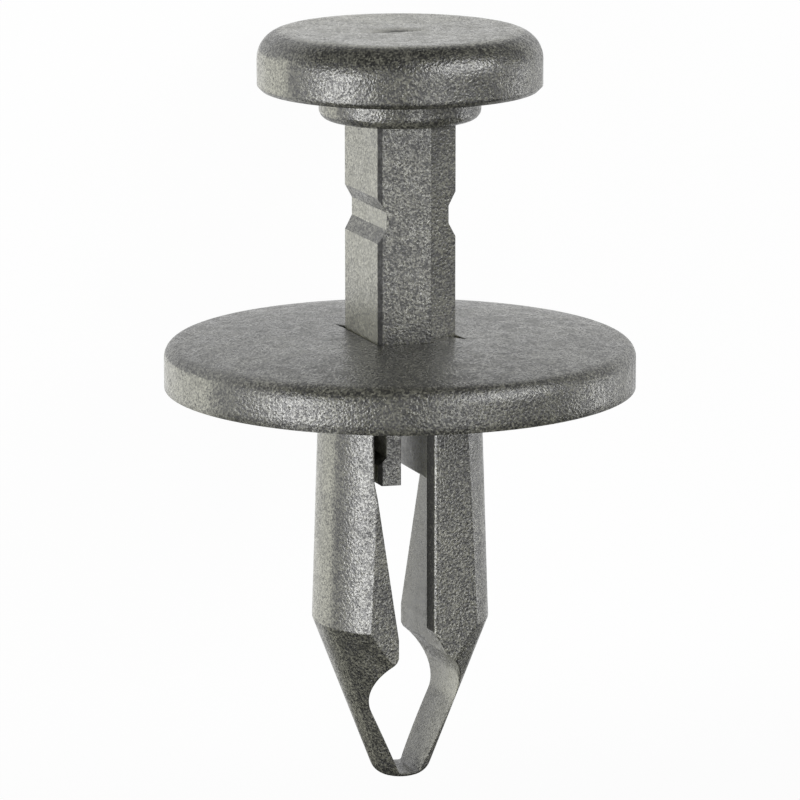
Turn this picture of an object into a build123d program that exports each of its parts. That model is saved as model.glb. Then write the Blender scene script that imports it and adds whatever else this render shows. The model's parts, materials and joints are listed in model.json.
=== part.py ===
"""Plastic push rivet for fixing trim: a flanged grommet with two legs, and the pin that spreads them.

The grommet goes into a panel hole up to its flange. Pushing the pin down drives its forked end
between the legs, whose inner ramps then part them behind the panel. Both mouldings look the same
when turned half a turn about the rivet's axis, as they come from moulds parted on one plane.

The rivet lies as it rests on a flat surface, on the edges of its flange and its head, pin drawn out.
The origin is where the rivet's axis meets the face that seats on the panel. +Z is up, and the axis
points along +X and slightly down, towards the pin's head.
"""

import os
from math import acos, atan2, cos, hypot, radians, sin, sqrt, tan

from build123d import *

# Driving dimensions in millimetres. Heights are along the rivet's axis from the seating face.

# Grommet flange
flange_diameter = 19.9
flange_rim_height = 1.78
flange_edge_radius = 0.6
flange_thickness = 2.28
crown_flat_diameter = 8.4

# Grommet stem and legs
stem_top_diameter = 6.9
stem_low_diameter = 7.52
stem_length = 10.0
stem_width = 5.8
root_bevel = 0.3
cone_angle = 20.9
tip_length = 7.02
tip_radius = 0.8
leg_gap = 4.4
leg_straight = 3.5
cam_gap = 2.3
cam_drop = 0.35
cam_chamfer = 0.12
cavity_diameter = 4.04
cavity_drop = 2.95
cavity_floor_width = 1.0
cavity_corner_radius = 0.18
tip_floor = 0.25
guide_gap = 0.08
guide_drop = 0.17
guide_lead = 1.2
guide_radius = 0.24

# Push pin
head_diameter = 11.95
head_thickness = 2.47
head_edge_radius = 1.2
head_lower_bevel = 0.18
head_dish = 0.12
dish_margin = 0.175
collar_diameter = 6.8
collar_thickness = 1.26
collar_edge_radius = 0.45
shank_width = 3.7
shank_length = 15.13
land_height = 2.63
land_angle = 8.0
land_overrun = 0.38
land_bevel = 0.16
shelf_height = 1.96
shelf_angle = 9.5
notch_depth = 0.33
notch_floor = 0.74
notch_slope = 0.58
notch_drop = 3.9
neck_slope = 0.37
neck_length = 1.28
fork_slot = 1.14
fork_relief = 0.34
fork_relief_height = 1.4
fork_length = 4.3
prong_chamfer = 0.12
push_travel = 9.1

# Fit of the pin in the grommet
bore_clearance = 0.08
bore_rise = 0.3
hole_clearance = 0.08
catch_clearance = 0.06
catch_width = 2.4
relief_root = 0.2
relief_width = 0.45
relief_reach = 0.85
relief_spread = 0.1

# Sizes that follow
flange_radius = flange_diameter / 2
stem_top_radius = stem_top_diameter / 2
stem_low_radius = stem_low_diameter / 2
tip_bottom = -(stem_length + tip_length)
cam_depth = stem_length + cam_drop
guide_length = stem_length + guide_drop
cavity_depth = stem_length + cavity_drop
cavity_radius = cavity_diameter / 2
head_radius = head_diameter / 2
dish_radius = head_radius - head_edge_radius - dish_margin
collar_radius = collar_diameter / 2
collar_bottom = flange_thickness + push_travel
head_bottom = collar_bottom + collar_thickness
head_top = head_bottom + head_thickness
pin_end = collar_bottom - shank_length
shank_half = shank_width / 2
upper_notch = collar_bottom - notch_drop
lower_notch = upper_notch - push_travel
guide_edge = land_overrun + guide_gap
well_beyond = flange_diameter


def lean_at_rest():
    """Angle between the rivet's axis and the surface that its flange and head lie on, in radians."""
    radial = (flange_radius - flange_edge_radius) - (head_radius - head_edge_radius)
    axial = (head_top - head_edge_radius) - (flange_rim_height - flange_edge_radius)
    difference = head_edge_radius - flange_edge_radius
    return acos(difference / hypot(radial, axial)) - atan2(axial, radial)


lean = lean_at_rest()

# The seating plane: its normal is the rivet's axis, and its x is the way the legs spread.
seat = Plane(origin=(0, 0, 0), x_dir=(0, 1, 0), z_dir=(cos(lean), 0, -sin(lean)))
rivet_axis = Axis(seat.origin, seat.z_dir)
# Two side views with the axis up, half a turn apart: x is the way the legs spread, y is height.
profile = Plane(origin=seat.origin, x_dir=seat.x_dir, z_dir=-seat.y_dir)
far_profile = Plane(origin=seat.origin, x_dir=-seat.x_dir, z_dir=seat.y_dir)


def outline(*points):
    """A face with straight edges through the points, where they lie in the sketch that is open."""
    Polygon(*points, align=None)


def round_corner(sketch, point, radius):
    """Round the corner of the sketch that lies at the point."""
    fillet(sketch.vertices().sort_by_distance(point)[0], radius)


def shelf_at(x, clearance=0.0):
    """Height of the shelf beside the land, where x is measured from the axis towards the shelf."""
    return shelf_height - x * tan(radians(shelf_angle)) + clearance / cos(radians(shelf_angle))


def land_at(x, clearance=0.0):
    """Height of the land, where x is measured from the axis away from the shelf."""
    return land_height - x * tan(radians(land_angle)) + clearance / cos(radians(land_angle))


def shank_section(width, clearance=0.0):
    """The pin's section, grown by a clearance: a land and a lower shelf on each of its two faces.

    The land leans away from its bevelled outer corner, and runs a little way past the axis.
    """
    side = width / 2 + clearance
    inner = side - land_bevel
    step = land_overrun + clearance
    half = [
        (side, land_at(inner, clearance) - land_bevel),
        (inner, land_at(inner, clearance)),
        (-step, land_at(-step, clearance)),
        (-step, shelf_at(step, clearance)),
        (-side, shelf_at(side, clearance)),
    ]
    outline(*half, *[(-x, -y) for x, y in half])


# ---- Push pin ----

with BuildPart() as push_pin:
    with BuildSketch(profile) as head_profile:
        with BuildLine():
            Polyline(
                (0, head_top - head_dish),
                (0, collar_bottom),
                (collar_radius, collar_bottom),
                (collar_radius, head_bottom),
                (head_radius - head_lower_bevel, head_bottom),
                (head_radius, head_bottom + head_lower_bevel),
                (head_radius, head_top),
                (dish_radius, head_top),
            )
            TangentArc((0, head_top - head_dish), (dish_radius, head_top), tangent=(1, 0))
        make_face()
        round_corner(head_profile, (collar_radius, collar_bottom), collar_edge_radius)
        round_corner(head_profile, (head_radius, head_top), head_edge_radius)
    revolve(axis=rivet_axis)

    with BuildSketch(seat.offset(collar_bottom)):
        shank_section(shank_width)
    extrude(amount=-shank_length)

    # A pair of notches for each place where the pin stays: pushed home, and drawn out. The lower
    # pair is longer at its foot, and leaves a neck between the shank and the prongs' ends.
    with BuildSketch(profile):
        upper_reach = notch_floor / 2 + notch_slope
        for height, floor_below, slope_below in (
            (upper_notch, notch_floor / 2, notch_slope),
            (lower_notch, neck_length - notch_floor / 2, neck_slope),
        ):
            for side in (-1, 1):
                floor = side * (shank_half - notch_depth)
                mouth = side * shank_half
                outside = side * shank_width
                outline(
                    (floor, height + notch_floor / 2),
                    (floor, height - floor_below),
                    (mouth, height - floor_below - slope_below),
                    (outside, height - floor_below - slope_below),
                    (outside, height + upper_reach),
                    (mouth, height + upper_reach),
                )
    extrude(amount=well_beyond, both=True, mode=Mode.SUBTRACT)

    # The fork: a round-ended slot, relieved where it opens beside the land on each face.
    for view in (profile, far_profile):
        for height, relief in ((0, 0), (fork_relief_height, fork_relief)):
            opening = fork_slot + relief
            with BuildSketch(view.offset(height)):
                with Locations((-relief / 2, pin_end + fork_length - opening / 2)):
                    Circle(opening / 2)
                    Rectangle(opening, fork_length, align=(Align.CENTER, Align.MAX))
            extrude(amount=well_beyond, mode=Mode.SUBTRACT)

    # The prongs' outer edges are chamfered where they meet the legs.
    with BuildSketch(profile):
        for side in (-1, 1):
            outline(
                (side * (shank_half - prong_chamfer), pin_end),
                (side * (shank_half + prong_chamfer), pin_end),
                (side * (shank_half + prong_chamfer), pin_end + 2 * prong_chamfer),
            )
    extrude(amount=well_beyond, both=True, mode=Mode.SUBTRACT)

push_pin.part.label = "push_pin"


# ---- Grommet ----

# The stem as a whole body: a slightly flared drum that ends in a cone, with flats front and back.
with BuildPart() as stem:
    with BuildSketch(profile) as stem_profile:
        tip_corner = stem_low_radius - tip_length * tan(radians(cone_angle))
        outline(
            (0, 0),
            (stem_top_radius + root_bevel, 0),
            (stem_top_radius, -root_bevel),
            (stem_low_radius, -stem_length),
            (tip_corner, tip_bottom),
            (0, tip_bottom),
        )
        round_corner(stem_profile, (tip_corner, tip_bottom), tip_radius)
    revolve(axis=rivet_axis)
    with BuildSketch(seat):
        Rectangle(2 * stem_low_diameter, stem_width)
    extrude(amount=tip_bottom, mode=Mode.INTERSECT)

    # The opening between the legs, one half at a time. On one side it follows a leg's ramp and cam,
    # and on the other it stops at the edge of the guide wall that the other leg carries.
    cam_end = sqrt(cavity_radius**2 - (cam_gap / 2) ** 2) - cavity_depth
    for view in (profile, far_profile):
        with BuildSketch(view):
            outline(
                (-leg_gap / 2, 0),
                (-leg_gap / 2, -leg_straight),
                (-cam_gap / 2, -cam_depth),
                (-cam_gap / 2, cam_end + cam_chamfer),
                (-cam_gap / 2 - cam_chamfer, cam_end - cam_chamfer),
                (-cam_gap / 2, -cavity_depth),
                (cam_gap / 2, -cavity_depth),
                (cam_gap / 2, -guide_length - guide_lead),
                (guide_edge, -guide_length),
                (guide_edge, 0),
            )
        extrude(amount=well_beyond, mode=Mode.SUBTRACT)

    # The cavity under the cams: a round eye that runs down into a narrowing slot.
    with BuildSketch(profile):
        with Locations((0, -cavity_depth)):
            Circle(cavity_radius)
        with Locations((0, tip_bottom + tip_floor + cavity_corner_radius)):
            SlotOverall(cavity_floor_width, 2 * cavity_corner_radius)
        make_hull()
    extrude(amount=well_beyond, both=True, mode=Mode.SUBTRACT)

    # The guide walls' outer edges are rounded.
    with BuildSketch(seat):
        for side in (-1, 1):
            with Locations((side * guide_edge, -side * stem_width / 2)):
                Rectangle(2 * guide_radius, 2 * guide_radius)
            with Locations((side * (guide_edge + guide_radius), side * (guide_radius - stem_width / 2))):
                Circle(guide_radius, mode=Mode.SUBTRACT)
    extrude(amount=tip_bottom, mode=Mode.SUBTRACT)

# The way of the pin between the legs: the pin's section, as wide as the gap between the ramps.
with BuildPart() as pin_way:
    with BuildSketch(profile):
        outline(
            (-leg_gap / 2, bore_rise),
            (-leg_gap / 2, -leg_straight),
            (-cam_gap / 2, -cam_depth),
            (-cam_gap / 2, -cavity_depth),
            (cam_gap / 2, -cavity_depth),
            (cam_gap / 2, -cam_depth),
            (leg_gap / 2, -leg_straight),
            (leg_gap / 2, bore_rise),
        )
    extrude(amount=well_beyond, both=True)
    with BuildSketch(seat.offset(bore_rise)):
        shank_section(leg_gap, bore_clearance)
    extrude(amount=-cavity_depth - bore_rise, mode=Mode.INTERSECT)

with BuildPart() as grommet:
    with BuildSketch(profile) as flange_profile:
        crown_edge = (crown_flat_diameter / 2, flange_thickness)
        rim_edge = (flange_radius, flange_rim_height)
        with BuildLine():
            Polyline(rim_edge, (flange_radius, 0), (0, 0), (0, flange_thickness), crown_edge)
            TangentArc(crown_edge, rim_edge, tangent=(1, 0))
        make_face()
        round_corner(flange_profile, rim_edge, flange_edge_radius)
    revolve(axis=rivet_axis)

    add(stem.part)
    add(pin_way.part, mode=Mode.SUBTRACT)

    # The catches that drop into the pin's notches.
    with BuildSketch(profile):
        for side in (-1, 1):
            nose = side * (shank_half - notch_depth + catch_clearance)
            root = side * leg_gap / 2
            tip_half = notch_floor / 2 - catch_clearance
            root_half = tip_half + notch_slope * (leg_gap / 2 - abs(nose)) / notch_depth
            outline(
                (nose, lower_notch + tip_half),
                (nose, lower_notch - tip_half),
                (root, lower_notch - root_half),
                (root, lower_notch + root_half),
            )
    extrude(amount=catch_width / 2, both=True)

    # The hole in the flange has the pin's section, with a pointed relief at two of its corners.
    with BuildSketch(seat):
        shank_section(shank_width, hole_clearance)
        hole_half = shank_half + hole_clearance
        hole_corner = shelf_at(hole_half, hole_clearance)
        for side in (-1, 1):
            outline(
                (side * hole_half, side * (relief_root - hole_corner)),
                (side * (hole_half + relief_spread), -side * (hole_corner + relief_reach)),
                (side * (hole_half - relief_width), -side * hole_corner),
            )
    extrude(amount=flange_thickness, mode=Mode.SUBTRACT)

grommet.part.label = "grommet"


os.makedirs("parts", exist_ok=True)
export_step(grommet.part, "parts/grommet.step")
export_step(push_pin.part, "parts/push_pin.step")
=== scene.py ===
"""Looks of the plastic push rivet: spark-eroded plastic, a pale floor and soft studio light."""

import json
import math

import bpy
from mathutils import Matrix, Vector


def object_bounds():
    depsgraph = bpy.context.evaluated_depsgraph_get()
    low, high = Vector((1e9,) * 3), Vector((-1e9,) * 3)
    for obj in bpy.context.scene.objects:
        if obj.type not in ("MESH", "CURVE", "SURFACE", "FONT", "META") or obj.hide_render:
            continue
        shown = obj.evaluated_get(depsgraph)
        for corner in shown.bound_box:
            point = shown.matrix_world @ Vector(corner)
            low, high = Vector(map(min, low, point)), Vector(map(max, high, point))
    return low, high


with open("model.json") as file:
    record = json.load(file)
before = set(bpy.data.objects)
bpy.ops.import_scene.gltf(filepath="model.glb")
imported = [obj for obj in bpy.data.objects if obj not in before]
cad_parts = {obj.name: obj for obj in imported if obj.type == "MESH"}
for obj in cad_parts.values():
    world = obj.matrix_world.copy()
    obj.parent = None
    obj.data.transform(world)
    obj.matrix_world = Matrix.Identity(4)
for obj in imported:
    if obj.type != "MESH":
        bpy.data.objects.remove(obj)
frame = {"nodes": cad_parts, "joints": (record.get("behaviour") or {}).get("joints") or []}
cad_box = [list(corner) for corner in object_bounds()]

# Lengths are named in millimetres, and MM turns them into metres.
MM = 0.001

# ---- The rivet's own frame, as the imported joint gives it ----

INSERTION = Vector(frame["joints"][0]["axis"]).normalized()
AXIS = -INSERTION
ACROSS = Vector((0.0, 1.0, 0.0))
FRONT = AXIS.cross(ACROSS)

# ---- Camera ----

VIEW_TURN = math.radians(20.9)
VIEW_RISE = math.radians(12.2)
VIEW_DISTANCE = 216.0
LENS = 230.0
AIM_HEIGHT = -0.672

view_level = ACROSS * math.sin(VIEW_TURN) + FRONT * math.cos(VIEW_TURN)
view_right = AXIS.cross(view_level)


def make_camera():
    """The camera, turned round the rivet's axis from its front and raised towards the head."""
    back = view_level * math.cos(VIEW_RISE) + AXIS * math.sin(VIEW_RISE)
    up = AXIS * math.cos(VIEW_RISE) - view_level * math.sin(VIEW_RISE)
    turn = Matrix((view_right, up, back)).transposed().to_4x4()
    data = bpy.data.cameras.new("camera")
    data.lens = LENS
    data.sensor_width = 36.0
    data.clip_start = 0.001
    camera = bpy.data.objects.new("camera", data)
    camera.matrix_world = Matrix.Translation((AXIS * AIM_HEIGHT + back * VIEW_DISTANCE) * MM) @ turn
    bpy.context.scene.collection.objects.link(camera)
    bpy.context.scene.camera = camera


make_camera()


# ---- Nodes that materials, effects and the world are made of ----

def arithmetic(tree, operation, first, second, clamp=False):
    """A Math node between two sockets or numbers, and its output."""
    node = tree.nodes.new("ShaderNodeMath")
    node.operation = operation
    node.use_clamp = clamp
    for socket, value in zip(node.inputs, (first, second)):
        if isinstance(value, bpy.types.NodeSocket):
            tree.links.new(value, socket)
        elif value is not None:
            socket.default_value = value
    return node.outputs[0]


def absolute(tree, value):
    """A value without its sign."""
    return arithmetic(tree, "ABSOLUTE", value, None)


def ramp(tree, value, low, high, bottom=0.0, top=1.0):
    """A smooth step of a value from bottom to top between low and high."""
    node = tree.nodes.new("ShaderNodeMapRange")
    node.interpolation_type = "SMOOTHSTEP"
    tree.links.new(value, node.inputs["Value"])
    for label, number in (("From Min", low), ("From Max", high), ("To Min", bottom), ("To Max", top)):
        node.inputs[label].default_value = number
    return node.outputs["Result"]


def along(tree, vector, direction):
    """How far a vector reaches along a direction."""
    node = tree.nodes.new("ShaderNodeVectorMath")
    node.operation = "DOT_PRODUCT"
    node.inputs[1].default_value = direction
    tree.links.new(vector, node.inputs[0])
    return node.outputs["Value"]


def facing(tree, direction):
    """How far a face looks along a direction, from -1 to 1."""
    return along(tree, tree.nodes.new("ShaderNodeTexCoord").outputs["Normal"], direction)


def axis_distance(tree, place):
    """How far a point of the surface lies from the rivet's axis."""
    across = tree.nodes.new("ShaderNodeVectorMath")
    across.operation = "CROSS_PRODUCT"
    across.inputs[1].default_value = AXIS
    tree.links.new(place, across.inputs[0])
    size = tree.nodes.new("ShaderNodeVectorMath")
    size.operation = "LENGTH"
    tree.links.new(across.outputs["Vector"], size.inputs[0])
    return size.outputs["Value"]


# ---- Effects that both plastics share ----

def new_effect(name, inputs, outputs):
    """An empty node group with its sockets, and its input and output nodes."""
    group = bpy.data.node_groups.new(name, "ShaderNodeTree")
    for label, kind, value in inputs:
        socket = group.interface.new_socket(label, in_out="INPUT", socket_type=kind)
        if value is not None:
            socket.default_value = value
    for label, kind in outputs:
        group.interface.new_socket(label, in_out="OUTPUT", socket_type=kind)
    return group, group.nodes.new("NodeGroupInput"), group.nodes.new("NodeGroupOutput")


def place_effect(tree, group, **values):
    """A group's node in a material, with its own values."""
    node = tree.nodes.new("ShaderNodeGroup")
    node.node_tree = group
    for label, value in values.items():
        node.inputs[label.replace("_", " ")].default_value = value
    return node


def voronoi(tree, place, scale, feature):
    """A Voronoi texture's node at a place and a scale."""
    node = tree.nodes.new("ShaderNodeTexVoronoi")
    node.feature = feature
    tree.links.new(place, node.inputs["Vector"])
    tree.links.new(scale, node.inputs["Scale"])
    return node


# Where ramps begin and end: on how far a face looks along a direction, and on the textures.
GRAINED_TURN = (0.08, 0.5)
FLAT_TOP = (0.9, 0.99)
NOISE_SPAN = (0.3, 0.7)
CRATER_SPAN = (0.1, 0.7)

TOP_GRAIN = 0.85
CRATER_SCALE = 1.1
SPOT_SCALE = 1.7
SPOT_SHARE = 0.65
RELIEF_POWER = 1.6


def make_grain_effect():
    """Spark-eroded grain: strongest on the faces that part with the mould, weakest on its side walls."""
    group, given, result = new_effect(
        "spark_eroded_grain",
        [
            ("Place", "NodeSocketVector", None),
            ("Grain per metre", "NodeSocketFloat", 6000.0),
            ("Top polish", "NodeSocketFloat", 0.0),
            ("Least grain", "NodeSocketFloat", 0.3),
        ],
        [("Height", "NodeSocketFloat"), ("Speckle", "NodeSocketFloat"), ("Strength", "NodeSocketFloat")],
    )
    place = given.outputs["Place"]
    scale = given.outputs["Grain per metre"]

    to_front = absolute(group, facing(group, FRONT))
    to_top = absolute(group, facing(group, AXIS))
    polish = arithmetic(group, "MULTIPLY", ramp(group, to_top, *FLAT_TOP), given.outputs["Top polish"])
    top_grain = arithmetic(group, "MULTIPLY", ramp(group, to_top, *GRAINED_TURN, 0.0, TOP_GRAIN),
                           arithmetic(group, "SUBTRACT", 1.0, polish))
    strength = arithmetic(group, "MAXIMUM", ramp(group, to_front, *GRAINED_TURN), top_grain)
    strength = arithmetic(group, "MAXIMUM", strength, given.outputs["Least grain"])

    fine = group.nodes.new("ShaderNodeTexNoise")
    fine.inputs["Detail"].default_value = 2.0
    fine.inputs["Roughness"].default_value = 0.6
    group.links.new(place, fine.inputs["Vector"])
    group.links.new(scale, fine.inputs["Scale"])
    pits = voronoi(group, place, arithmetic(group, "MULTIPLY", scale, CRATER_SCALE), "SMOOTH_F1")
    pits.inputs["Smoothness"].default_value = 0.6
    sparks = voronoi(group, place, arithmetic(group, "MULTIPLY", scale, SPOT_SCALE), "F1")

    lumps = ramp(group, fine.outputs["Fac"], *NOISE_SPAN)
    craters = ramp(group, pits.outputs["Distance"], *CRATER_SPAN)
    relief = arithmetic(group, "MULTIPLY", arithmetic(group, "ADD", lumps, craters), 0.5)
    height = arithmetic(group, "MULTIPLY", relief, arithmetic(group, "POWER", strength, RELIEF_POWER))
    spots = ramp(group, sparks.outputs["Color"], 0.0, 1.0)
    speckle = arithmetic(group, "ADD", arithmetic(group, "MULTIPLY", relief, 1 - SPOT_SHARE),
                         arithmetic(group, "MULTIPLY", spots, SPOT_SHARE))
    for socket, label in ((height, "Height"), (speckle, "Speckle"), (strength, "Strength")):
        group.links.new(socket, result.inputs[label])
    return group


# Where ramps begin and end: on a face's turns, and on how far out it lies.
SLANTED = (0.42, 0.49)
SQUARE_TO_SIDE = (0.9, 0.98)
INNER_REACH = (-0.7, -0.3)

STEM_RADIUS = 3.9
MASK_BLEND = 0.1
NO_BEVELS = 0.0
NO_GROOVES = 20.0


def make_painted_recess_effect():
    """Painted shade and painted light: faces darker or lighter than their grain makes them.

    Dark is painted shade on the bevels nearer to the axis than the bevel reach, and on the sides of the
    guide walls beyond the groove start, where the gap between the legs lies in shade. Light is painted
    light, the inner shade on the faces that look across at the axis.
    """
    group, given, result = new_effect(
        "painted_recess_shading",
        [
            ("Place", "NodeSocketVector", None),
            ("Bevel reach", "NodeSocketFloat", NO_BEVELS * MM),
            ("Groove start", "NodeSocketFloat", NO_GROOVES * MM),
            ("Inner shade", "NodeSocketFloat", 0.0),
        ],
        [("Dark", "NodeSocketFloat"), ("Light", "NodeSocketFloat")],
    )
    place = given.outputs["Place"]
    reach = axis_distance(group, place)
    side = facing(group, ACROSS)
    to_side = absolute(group, side)

    # Painted shade on the slanted bevels near the axis.
    slant = arithmetic(group, "MULTIPLY", absolute(group, facing(group, FRONT)), to_side)
    past_bevels = arithmetic(group, "SUBTRACT", reach, given.outputs["Bevel reach"])
    bevels = arithmetic(group, "MULTIPLY", ramp(group, slant, *SLANTED),
                        ramp(group, past_bevels, 0.0, MASK_BLEND * MM, 1.0, 0.0))

    # Painted shade on the sides of the guide walls, where the gap between the legs lies in shade.
    depth = arithmetic(group, "MULTIPLY", along(group, place, FRONT), side)
    past_start = arithmetic(group, "SUBTRACT", depth, given.outputs["Groove start"])
    painted_groove_shade = arithmetic(group, "MULTIPLY", ramp(group, to_side, *SQUARE_TO_SIDE),
                         ramp(group, past_start, 0.0, MASK_BLEND * MM))
    on_stem = ramp(group, reach, STEM_RADIUS * MM, (STEM_RADIUS + 2 * MASK_BLEND) * MM, 1.0, 0.0)
    painted_groove_shade = arithmetic(group, "MULTIPLY", painted_groove_shade, on_stem)
    group.links.new(arithmetic(group, "MAXIMUM", bevels, painted_groove_shade), result.inputs["Dark"])

    # Painted light on the inner walls that look across at the axis.
    outward = arithmetic(group, "MULTIPLY", along(group, place, ACROSS), side)
    deep, shallow = (edge * MM for edge in INNER_REACH)
    painted_inner_light_mask = ramp(group, outward, deep, shallow, 1.0, 0.0)
    light = arithmetic(group, "MULTIPLY", painted_inner_light_mask, given.outputs["Inner shade"])
    group.links.new(light, result.inputs["Light"])
    return group


TURNED_EDGE = (0.8, 0.99)


def make_edge_effect():
    """Rounded edges: the softened normal, and a mask of where it turns, for rubbed wear and painted edge
    shade.
    """
    group, given, result = new_effect(
        "rounded_edges",
        [("Radius", "NodeSocketFloat", 0.1 * MM)],
        [("Normal", "NodeSocketVector"), ("Edge", "NodeSocketFloat")],
    )
    bevel = group.nodes.new("ShaderNodeBevel")
    bevel.samples = 6
    group.links.new(given.outputs["Radius"], bevel.inputs["Radius"])
    flat = group.nodes.new("ShaderNodeNewGeometry")
    turn = group.nodes.new("ShaderNodeVectorMath")
    turn.operation = "DOT_PRODUCT"
    group.links.new(bevel.outputs["Normal"], turn.inputs[0])
    group.links.new(flat.outputs["Normal"], turn.inputs[1])
    group.links.new(bevel.outputs["Normal"], result.inputs["Normal"])
    edge = ramp(group, turn.outputs["Value"], *TURNED_EDGE, 1.0, 0.0)
    group.links.new(edge, result.inputs["Edge"])
    return group


def make_flow_effect():
    """Slow changes of shade and gloss where the plastic flowed and cooled, and fine handling haze."""
    group, given, result = new_effect(
        "mould_flow",
        [("Place", "NodeSocketVector", None), ("Cloud size", "NodeSocketFloat", 2.5 * MM)],
        [("Clouds", "NodeSocketFloat"), ("Haze", "NodeSocketFloat")],
    )
    for label, detail, factor in (("Clouds", 3.0, 1.0), ("Haze", 6.0, 3.5)):
        noise = group.nodes.new("ShaderNodeTexNoise")
        noise.inputs["Detail"].default_value = detail
        group.links.new(given.outputs["Place"], noise.inputs["Vector"])
        scale = arithmetic(group, "DIVIDE", factor, given.outputs["Cloud size"])
        group.links.new(scale, noise.inputs["Scale"])
        group.links.new(ramp(group, noise.outputs["Fac"], *NOISE_SPAN), result.inputs[label])
    return group


grain_effect = make_grain_effect()
painted_recess_effect = make_painted_recess_effect()
edge_effect = make_edge_effect()
flow_effect = make_flow_effect()


# ---- Plastics ----

PLASTIC_DARK = (0.01, 0.0099, 0.0085)
PLASTIC_LIGHT = (0.42, 0.416, 0.338)
GRAIN_SIZE = 0.12
GRAIN_DEPTH = 0.016
LEAST_GRAIN = 0.35
CLOUD_SIZE = 2.5
RIM_BLEND = 0.8
CLOUD_SHADE = 0.05
SPECK_GLOSS = 0.1
HAZE_ROUGHNESS = (-0.05, 0.06)
DARK_ROUGHNESS = 0.5

# Grain strengths of a wall and of a face, and what the plastic has there. The shade paints the walls
# light and the grained faces and tops dark: partly their finish, partly painted light and painted shade.
SHADE_SPAN, WALL_FINISH_AND_LIGHT, FACE_FINISH_AND_SHADE = (0.3, 0.85), 0.62, 0.1
SWING_SPAN, WALL_SWING, FACE_SWING = (0.3, 0.9), 1.3, 0.85
ROUGHNESS_SPAN, WALL_ROUGHNESS, FACE_ROUGHNESS = (0.2, 1.0), 0.26, 0.34


def plastic_shade(tree, grain, flow, painted_recess, edge_wear_and_shade):
    """Where the plastic lies between its dark and its light shade, from 0 to 1, painted light and shade
    included.
    """
    strength = grain.outputs["Strength"]
    swing = ramp(tree, strength, *SWING_SPAN, WALL_SWING, FACE_SWING)
    speckle = arithmetic(tree, "SUBTRACT", grain.outputs["Speckle"], 0.5)
    shade = arithmetic(tree, "MULTIPLY", speckle, swing)
    for change in (
        # Painted light on the walls and painted shade on the grained faces and tops, partly their
        # finish.
        ramp(tree, strength, *SHADE_SPAN, WALL_FINISH_AND_LIGHT, FACE_FINISH_AND_SHADE),
        ramp(tree, flow.outputs["Clouds"], 0.0, 1.0, -CLOUD_SHADE, CLOUD_SHADE),
        edge_wear_and_shade,
        painted_recess.outputs["Light"],
    ):
        shade = arithmetic(tree, "ADD", shade, change)
    return arithmetic(tree, "SUBTRACT", shade, painted_recess.outputs["Dark"], clamp=True)


def plastic_roughness(tree, grain, flow, painted_recess):
    """Roughness: a little more with the grain, less on its bright specks, most on the faces painted
    dark.
    """
    rough = ramp(tree, grain.outputs["Strength"], *ROUGHNESS_SPAN, WALL_ROUGHNESS, FACE_ROUGHNESS)
    for change in (
        ramp(tree, flow.outputs["Haze"], 0.0, 1.0, *HAZE_ROUGHNESS),
        ramp(tree, grain.outputs["Speckle"], 0.2, 0.8, SPECK_GLOSS, -SPECK_GLOSS),
        arithmetic(tree, "MULTIPLY", painted_recess.outputs["Dark"], DARK_ROUGHNESS),
    ):
        rough = arithmetic(tree, "ADD", rough, change)
    return rough


def moulded_plastic(name, top_polish, edge_radius, edge_shade, rim_start, rim_radius,
                    bevel_reach=NO_BEVELS, groove_start=NO_GROOVES, inner_shade=0.0):
    """Grey moulded plastic, with its lengths in millimetres.

    Its rounded edges grow from edge_radius to rim_radius beyond rim_start from the axis. They are
    lighter by edge_shade, as rubbed wear, and darker, as painted shade, where that is below zero.
    Bevel_reach and groove_start place painted shade, and inner_shade places painted light.
    """
    material = bpy.data.materials.new(name)
    material.use_nodes = True
    tree = material.node_tree
    shader = tree.nodes["Principled BSDF"]
    place = tree.nodes.new("ShaderNodeTexCoord").outputs["Object"]
    grain = place_effect(tree, grain_effect, Grain_per_metre=1 / (GRAIN_SIZE * MM),
                         Top_polish=top_polish, Least_grain=LEAST_GRAIN)
    painted_recess = place_effect(tree, painted_recess_effect, Bevel_reach=bevel_reach * MM,
                          Groove_start=groove_start * MM, Inner_shade=inner_shade)
    flow = place_effect(tree, flow_effect, Cloud_size=CLOUD_SIZE * MM)
    for node in (grain, painted_recess, flow):
        tree.links.new(place, node.inputs["Place"])

    edges = place_effect(tree, edge_effect)
    reach = axis_distance(tree, place)
    rim_end = rim_start + RIM_BLEND
    radius = ramp(tree, reach, rim_start * MM, rim_end * MM, edge_radius * MM, rim_radius * MM)
    tree.links.new(radius, edges.inputs["Radius"])
    # Edge wear where edge_shade lightens the edges, painted shade where it darkens them.
    edge_wear_and_shade = arithmetic(tree, "MULTIPLY", edges.outputs["Edge"], edge_shade)

    colour = tree.nodes.new("ShaderNodeMix")
    colour.data_type = "RGBA"
    colour.inputs["A"].default_value = (*PLASTIC_DARK, 1)
    colour.inputs["B"].default_value = (*PLASTIC_LIGHT, 1)
    tree.links.new(plastic_shade(tree, grain, flow, painted_recess, edge_wear_and_shade), colour.inputs["Factor"])
    tree.links.new(colour.outputs["Result"], shader.inputs["Base Color"])
    tree.links.new(plastic_roughness(tree, grain, flow, painted_recess), shader.inputs["Roughness"])

    bump = tree.nodes.new("ShaderNodeBump")
    bump.inputs["Distance"].default_value = GRAIN_DEPTH * MM
    tree.links.new(grain.outputs["Height"], bump.inputs["Height"])
    tree.links.new(edges.outputs["Normal"], bump.inputs["Normal"])
    tree.links.new(bump.outputs["Normal"], shader.inputs["Normal"])
    shader.inputs["IOR"].default_value = 1.6
    shader.inputs["Specular IOR Level"].default_value = 1.0
    return material


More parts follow.
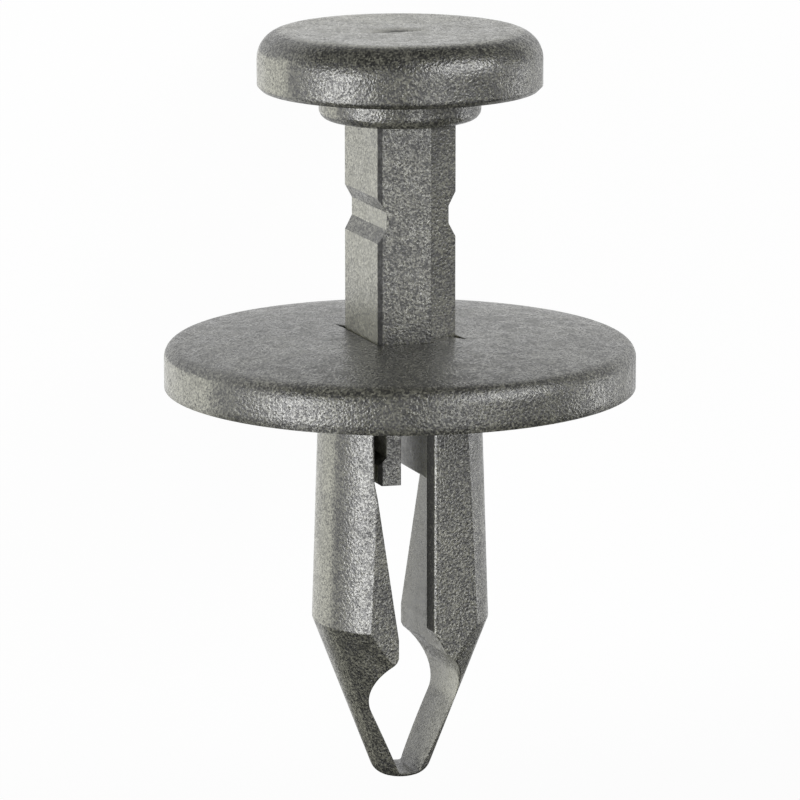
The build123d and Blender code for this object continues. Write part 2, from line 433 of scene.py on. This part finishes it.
pin_plastic = moulded_plastic(
    "pin_plastic_look",
    # Less grain on the pin's flat tops, which also paints them lighter: painted light.
    top_polish=0.42,
    edge_radius=0.05,
    # Painted shade: the pin's edges are darkened.
    edge_shade=-0.4,
    rim_start=4.2,
    rim_radius=0.2,
    # Painted shade on the bevels of the pin's shank.
    bevel_reach=3.25,
)
grommet_plastic = moulded_plastic(
    "grommet_plastic_look",
    top_polish=0.0,
    edge_radius=0.1,
    edge_shade=0.12,
    rim_start=8.2,
    rim_radius=0.7,
    # Painted shade beside the guide walls, and painted light on the inner walls.
    groove_start=1.7,
    inner_shade=0.32,
)
for node, material in (("push_pin", pin_plastic), ("grommet", grommet_plastic)):
    piece = frame["nodes"][node]
    for slot in piece.material_slots:
        slot.material = material


# ---- Floor ----

FLOOR_HALF = 600.0
FLOOR_COLOUR = (0.8, 0.8, 0.79)
FAR_FLOOR_COLOUR = (0.05, 0.05, 0.05)
PALE_REACH = 16.0
DARK_REACH = 26.0
BACKGROUND_SHARE = 0.97


def axial_distance(tree):
    """How far a point of the floor lies from the rivet's middle, along its axis."""
    place = tree.nodes.new("ShaderNodeTexCoord").outputs["Object"]
    return absolute(tree, along(tree, place, AXIS))


def make_floor():
    """A wide pale floor under the lying rivet.

    Past the head and the tip it is dark to the light, so that they aren't lit from the floor there,
    but the camera still sees it pale.
    """
    low = cad_box[0][2]
    mesh = bpy.data.meshes.new("floor")
    half = FLOOR_HALF * MM
    corners = [(-half, -half, low), (half, -half, low), (half, half, low), (-half, half, low)]
    mesh.from_pydata(corners, [], [(0, 1, 2, 3)])
    floor = bpy.data.objects.new("floor", mesh)
    bpy.context.scene.collection.objects.link(floor)
    material = bpy.data.materials.new("pale_floor")
    material.use_nodes = True
    tree = material.node_tree
    shader = tree.nodes["Principled BSDF"]
    pale = tree.nodes.new("ShaderNodeMix")
    pale.data_type = "RGBA"
    pale.inputs["A"].default_value = (*FLOOR_COLOUR, 1)
    pale.inputs["B"].default_value = (*FAR_FLOOR_COLOUR, 1)
    far = ramp(tree, axial_distance(tree), PALE_REACH * MM, DARK_REACH * MM)
    tree.links.new(far, pale.inputs["Factor"])
    tree.links.new(pale.outputs["Result"], shader.inputs["Base Color"])
    shader.inputs["Roughness"].default_value = 0.9
    glow = tree.nodes.new("ShaderNodeEmission")
    path = tree.nodes.new("ShaderNodeLightPath")
    blend = tree.nodes.new("ShaderNodeMixShader")
    glossy, transmitted = path.outputs["Is Glossy Ray"], path.outputs["Is Transmission Ray"]
    near = arithmetic(tree, "SUBTRACT", 1.0, far)
    mirrored = arithmetic(tree, "MULTIPLY", arithmetic(tree, "MAXIMUM", glossy, transmitted), near)
    seen = arithmetic(tree, "MAXIMUM", path.outputs["Is Camera Ray"], mirrored)
    tree.links.new(arithmetic(tree, "MULTIPLY", seen, BACKGROUND_SHARE), blend.inputs["Fac"])
    tree.links.new(shader.outputs["BSDF"], blend.inputs[1])
    tree.links.new(glow.outputs["Emission"], blend.inputs[2])
    tree.links.new(blend.outputs["Shader"], tree.nodes["Material Output"].inputs["Surface"])
    mesh.materials.append(material)


make_floor()


# ---- Light ----

LAMP_DISTANCE = 500.0


def soft_lamp(name, around, above, wide, tall, brightness):
    """A softbox that looks at the rivet.

    It stands so many degrees round the rivet's axis from the camera and above its waist, and looks
    so many degrees wide and tall from there.
    """
    turn, rise = math.radians(around), math.radians(above)
    level = view_level * math.cos(turn) + view_right * math.sin(turn)
    distance = LAMP_DISTANCE * MM
    place = (level * math.cos(rise) + AXIS * math.sin(rise)) * distance
    side = AXIS.cross(level).normalized()
    towards = place.normalized()
    data = bpy.data.lights.new(name, "AREA")
    data.shape = "RECTANGLE"
    data.size = 2 * distance * math.tan(math.radians(wide / 2))
    data.size_y = 2 * distance * math.tan(math.radians(tall / 2))
    data.energy = brightness * math.pi * data.size * data.size_y
    lamp = bpy.data.objects.new(name, data)
    turn_to = Matrix((side, towards.cross(side), towards)).transposed().to_4x4()
    lamp.matrix_world = Matrix.Translation(place) @ turn_to
    bpy.context.scene.collection.objects.link(lamp)


soft_lamp("left_softbox", around=-49, above=-7, wide=34, tall=34, brightness=6.0)
soft_lamp("right_softbox", around=54, above=27, wide=44, tall=30, brightness=5.4)
soft_lamp("front_strip", around=26, above=-12, wide=12, tall=26, brightness=4.4)
soft_lamp("side_softbox", around=122, above=0, wide=30, tall=60, brightness=5.0)


BELT_RISE, BELT_BRIGHTNESS = 0.06, 0.5
POLE_RISE, POLE_BRIGHTNESS = 0.44, 0.03


def make_world():
    """Fill light from a belt round the rivet's waist, dim above its head and below its tip."""
    world = bpy.data.worlds.new("studio")
    bpy.context.scene.world = world
    world.use_nodes = True
    tree = world.node_tree
    direction = tree.nodes.new("ShaderNodeTexCoord").outputs["Generated"]
    rise = absolute(tree, along(tree, direction, AXIS))
    belt = ramp(tree, rise, BELT_RISE, POLE_RISE, BELT_BRIGHTNESS, POLE_BRIGHTNESS)
    path = tree.nodes.new("ShaderNodeLightPath")
    strength = arithmetic(tree, "MAXIMUM", path.outputs["Is Camera Ray"], belt)
    tree.nodes["Background"].inputs["Color"].default_value = (1, 1, 1, 1)
    tree.links.new(strength, tree.nodes["Background"].inputs["Strength"])


make_world()

bpy.context.scene.view_settings.view_transform = "Standard"
